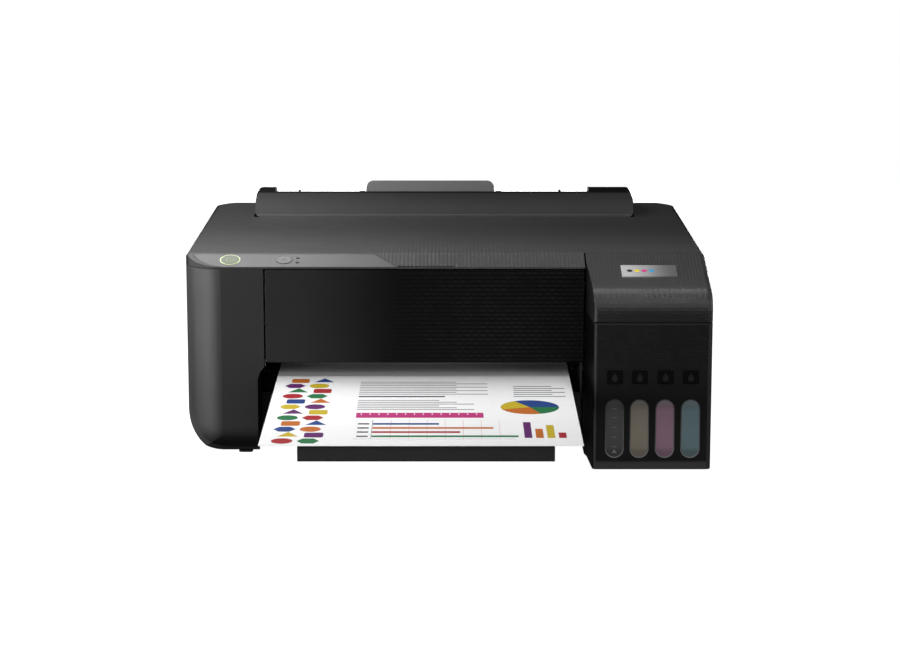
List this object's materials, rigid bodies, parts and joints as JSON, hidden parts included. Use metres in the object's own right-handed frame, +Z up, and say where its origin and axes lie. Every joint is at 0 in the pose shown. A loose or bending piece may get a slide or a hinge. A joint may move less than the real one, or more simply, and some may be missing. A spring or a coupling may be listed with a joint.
{
  "type": "inkjet printer",
  "caption": "Desktop inkjet printer with a refillable ink-tank unit on the right, hinged covers, rear paper feed, sliding output tray and a printed sheet lying out.",
  "frame": {"origin": "under the middle of the overall box at rest, on the table", "axes": "+X to the right seen from the front, +Y to the rear, +Z up; the front faces -Y"},
  "size_m": [0.375, 0.496, 0.1658],
  "materials": {
    "badge_silver": "satin",
    "board_green": "satin",
    "button_dark": "satin",
    "cap_black": "matt",
    "cap_cyan": "matt",
    "cap_magenta": "matt",
    "cap_yellow": "matt",
    "casing_black": "fine moulded texture",
    "casing_top": "fine ribbed texture",
    "cover_black": "fine wavy texture",
    "film_clear": "clear film",
    "gear_white": "satin",
    "guard_grey": "satin",
    "inner_plastic": "matt",
    "led_clear": "translucent",
    "light_grey": "satin",
    "lit_ring": "translucent, lit green",
    "panel_grey": "satin",
    "paper": "matt",
    "port_black": "satin",
    "rubber": "matt",
    "steel": "brushed",
    "tank_clear": "translucent",
    "tray_black": "satin"
  },
  "bodies": {
    "body": {"ac_inlet": "port_black", "base_tray": "casing_black", "carriage_guide_shaft": "steel", "carriage_motor": "steel", "control_panel": "panel_grey", "encoder_strip": "film_clear", "feed_motor": "steel", "feeder_frame": "casing_black", "housing_screws": "steel", "ink_tank_black": "tank_clear", "ink_tank_cyan": "tank_clear", "ink_tank_magenta": "tank_clear", "ink_tank_yellow": "tank_clear", "ink_tubes": "rubber", "main_board": "board_green", "main_frame": "steel", "main_housing": "casing_black", "maintenance_frame": "inner_plastic", "panel_board": "board_green", "platen": "inner_plastic", "power_light_ring": "lit_ring", "power_supply": "inner_plastic", "rubber_feet": "rubber", "star_wheel_holder": "inner_plastic", "status_leds": "led_clear", "tank_housing": "casing_black", "timing_belt": "rubber", "top_housing": "casing_top", "usb_port": "port_black"},
    "front_cover": {"front_cover": "cover_black"},
    "tank_cover": {"tank_cover": "cover_black", "tank_badge": "badge_silver"},
    "power_button": {"power_button": "button_dark"},
    "feed_button": {"feed_button": "button_dark"},
    "output_tray": {"output_tray": "tray_black"},
    "tray_extension": {"tray_extension": "tray_black"},
    "printed_sheet": {"printed_sheet": "paper"},
    "feeder_guard": {"feeder_guard": "guard_grey"},
    "paper_support": {"paper_support": "tray_black"},
    "support_extension": {"support_extension": "light_grey"},
    "edge_guide_left": {"edge_guide_left": "tray_black"},
    "edge_guide_right": {"edge_guide_right": "tray_black"},
    "carriage": {"carriage": "inner_plastic", "print_head": "steel"},
    "motor_pulley": {"motor_pulley": "gear_white"},
    "idler_pulley": {"idler_pulley": "gear_white"},
    "feed_roller": {"feed_roller": "steel", "feed_gear": "gear_white"},
    "idler_gear": {"idler_gear": "gear_white"},
    "eject_roller": {"eject_roller": "rubber", "eject_gear": "gear_white"},
    "feed_pinion": {"feed_pinion": "gear_white"},
    "star_wheels": {"star_wheels": "gear_white"},
    "pickup_roller": {"pickup_roller": "rubber"},
    "hopper_plate": {"hopper_plate": "inner_plastic"},
    "capping_cap": {"capping_cap": "rubber"},
    "tank_cap_black": {"tank_cap_black": "cap_black"},
    "tank_cap_yellow": {"tank_cap_yellow": "cap_yellow"},
    "tank_cap_magenta": {"tank_cap_magenta": "cap_magenta"},
    "tank_cap_cyan": {"tank_cap_cyan": "cap_cyan"}
  },
  "joints": [
    {"name": "power_press", "type": "slide", "parent": "body", "child": "power_button", "axis": [0, 0.3261, -0.9453], "range_m": [0, 0.0008], "stiffness_N_per_m": 600},
    {"name": "feed_press", "type": "slide", "parent": "body", "child": "feed_button", "axis": [0, 0.3261, -0.9453], "range_m": [0, 0.0008], "stiffness_N_per_m": 600},
    {"name": "front_cover_hinge", "type": "hinge", "parent": "body", "child": "front_cover", "pos_m": [0, -0.045, 0.073], "axis": [1, 0, 0], "range_deg": [0, 90]},
    {"name": "tank_cover_hinge", "type": "hinge", "parent": "body", "child": "tank_cover", "pos_m": [0.144, -0.038, 0.1375], "axis": [-1, 0, 0], "range_deg": [0, 88]},
    {"name": "tray_slide", "type": "slide", "parent": "body", "child": "output_tray", "axis": [0, 1, 0], "range_m": [0, 0.09]},
    {"name": "tray_extension_slide", "type": "slide", "parent": "output_tray", "child": "tray_extension", "axis": [0, 1, 0], "range_m": [0, 0.089]},
    {"name": "sheet_slide", "type": "slide", "parent": "body", "child": "printed_sheet", "axis": [0, -1, 0], "range_m": [0, 0.15]},
    {"name": "guard_hinge", "type": "hinge", "parent": "body", "child": "feeder_guard", "pos_m": [0, 0.1636, 0.1457], "axis": [1, 0, 0], "range_deg": [0, 100]},
    {"name": "support_slide", "type": "slide", "parent": "body", "child": "paper_support", "axis": [0, 0.5878, 0.809], "range_m": [0, 0.06]},
    {"name": "support_extension_slide", "type": "slide", "parent": "paper_support", "child": "support_extension", "axis": [0, 0.5878, 0.809], "range_m": [0, 0.055]},
    {"name": "guide_left_slide", "type": "slide", "parent": "body", "child": "edge_guide_left", "axis": [1, 0, 0], "range_m": [0, 0.055]},
    {"name": "guide_right_slide", "type": "slide", "parent": "body", "child": "edge_guide_right", "axis": [-1, 0, 0], "range_m": [0, 0.055]},
    {"name": "carriage_slide", "type": "slide", "parent": "body", "child": "carriage", "axis": [-1, 0, 0], "range_m": [0, 0.265]},
    {"name": "motor_pulley_turn", "type": "hinge", "parent": "body", "child": "motor_pulley", "pos_m": [0.165, 0.098, 0.11], "axis": [0, 1, 0], "range_deg": [0, 2205]},
    {"name": "idler_pulley_turn", "type": "hinge", "parent": "body", "child": "idler_pulley", "pos_m": [-0.158, 0.098, 0.11], "axis": [0, 1, 0], "range_deg": [0, 2205]},
    {"name": "feed_turn", "type": "hinge", "parent": "body", "child": "feed_roller", "pos_m": [0, 0.073, 0.0549], "axis": [1, 0, 0], "continuous": true},
    {"name": "idler_gear_turn", "type": "hinge", "parent": "body", "child": "idler_gear", "pos_m": [-0.175, 0.0405, 0.05527], "axis": [1, 0, 0], "continuous": true},
    {"name": "eject_turn", "type": "hinge", "parent": "body", "child": "eject_roller", "pos_m": [0, 0.012, 0.0556], "axis": [1, 0, 0], "continuous": true},
    {"name": "feed_pinion_turn", "type": "hinge", "parent": "body", "child": "feed_pinion", "pos_m": [-0.175, 0.08862, 0.03288], "axis": [1, 0, 0], "continuous": true},
    {"name": "star_wheel_turn", "type": "hinge", "parent": "body", "child": "star_wheels", "pos_m": [0, 0.012, 0.0646], "axis": [1, 0, 0], "continuous": true},
    {"name": "pickup_turn", "type": "hinge", "parent": "body", "child": "pickup_roller", "pos_m": [0, 0.134, 0.101], "axis": [1, 0, 0], "continuous": true},
    {"name": "hopper_hinge", "type": "hinge", "parent": "body", "child": "hopper_plate", "pos_m": [0, 0.16838, 0.12641], "axis": [1, 0, 0], "range_deg": [0, 3], "stiffness_Nm_per_rad": 0.5, "springref_deg": -5.73},
    {"name": "capping_slide", "type": "slide", "parent": "body", "child": "capping_cap", "axis": [0, 0, -1], "range_m": [0, 0.004], "stiffness_N_per_m": 400, "springref_m": -0.004},
    {"name": "tank_cap_black_hinge", "type": "hinge", "parent": "body", "child": "tank_cap_black", "pos_m": [0.1193, -0.052, 0.097], "axis": [-1, 0, 0], "range_deg": [0, 85]},
    {"name": "tank_cap_yellow_hinge", "type": "hinge", "parent": "body", "child": "tank_cap_yellow", "pos_m": [0.1367, -0.052, 0.097], "axis": [-1, 0, 0], "range_deg": [0, 85]},
    {"name": "tank_cap_magenta_hinge", "type": "hinge", "parent": "body", "child": "tank_cap_magenta", "pos_m": [0.15465, -0.052, 0.097], "axis": [-1, 0, 0], "range_deg": [0, 85]},
    {"name": "tank_cap_cyan_hinge", "type": "hinge", "parent": "body", "child": "tank_cap_cyan", "pos_m": [0.1726, -0.052, 0.097], "axis": [-1, 0, 0], "range_deg": [0, 85]}
  ],
  "couplings": [
    {"joint": "guide_right_slide", "follows": "guide_left_slide", "ratio": 1},
    {"joint": "motor_pulley_turn", "follows": "carriage_slide", "rad_per_m": 144.93},
    {"joint": "idler_pulley_turn", "follows": "carriage_slide", "rad_per_m": 144.93},
    {"joint": "idler_gear_turn", "follows": "feed_turn", "ratio": -1.6},
    {"joint": "eject_turn", "follows": "feed_turn", "ratio": 1.25},
    {"joint": "feed_pinion_turn", "follows": "feed_turn", "ratio": -2.8571}
  ]
}
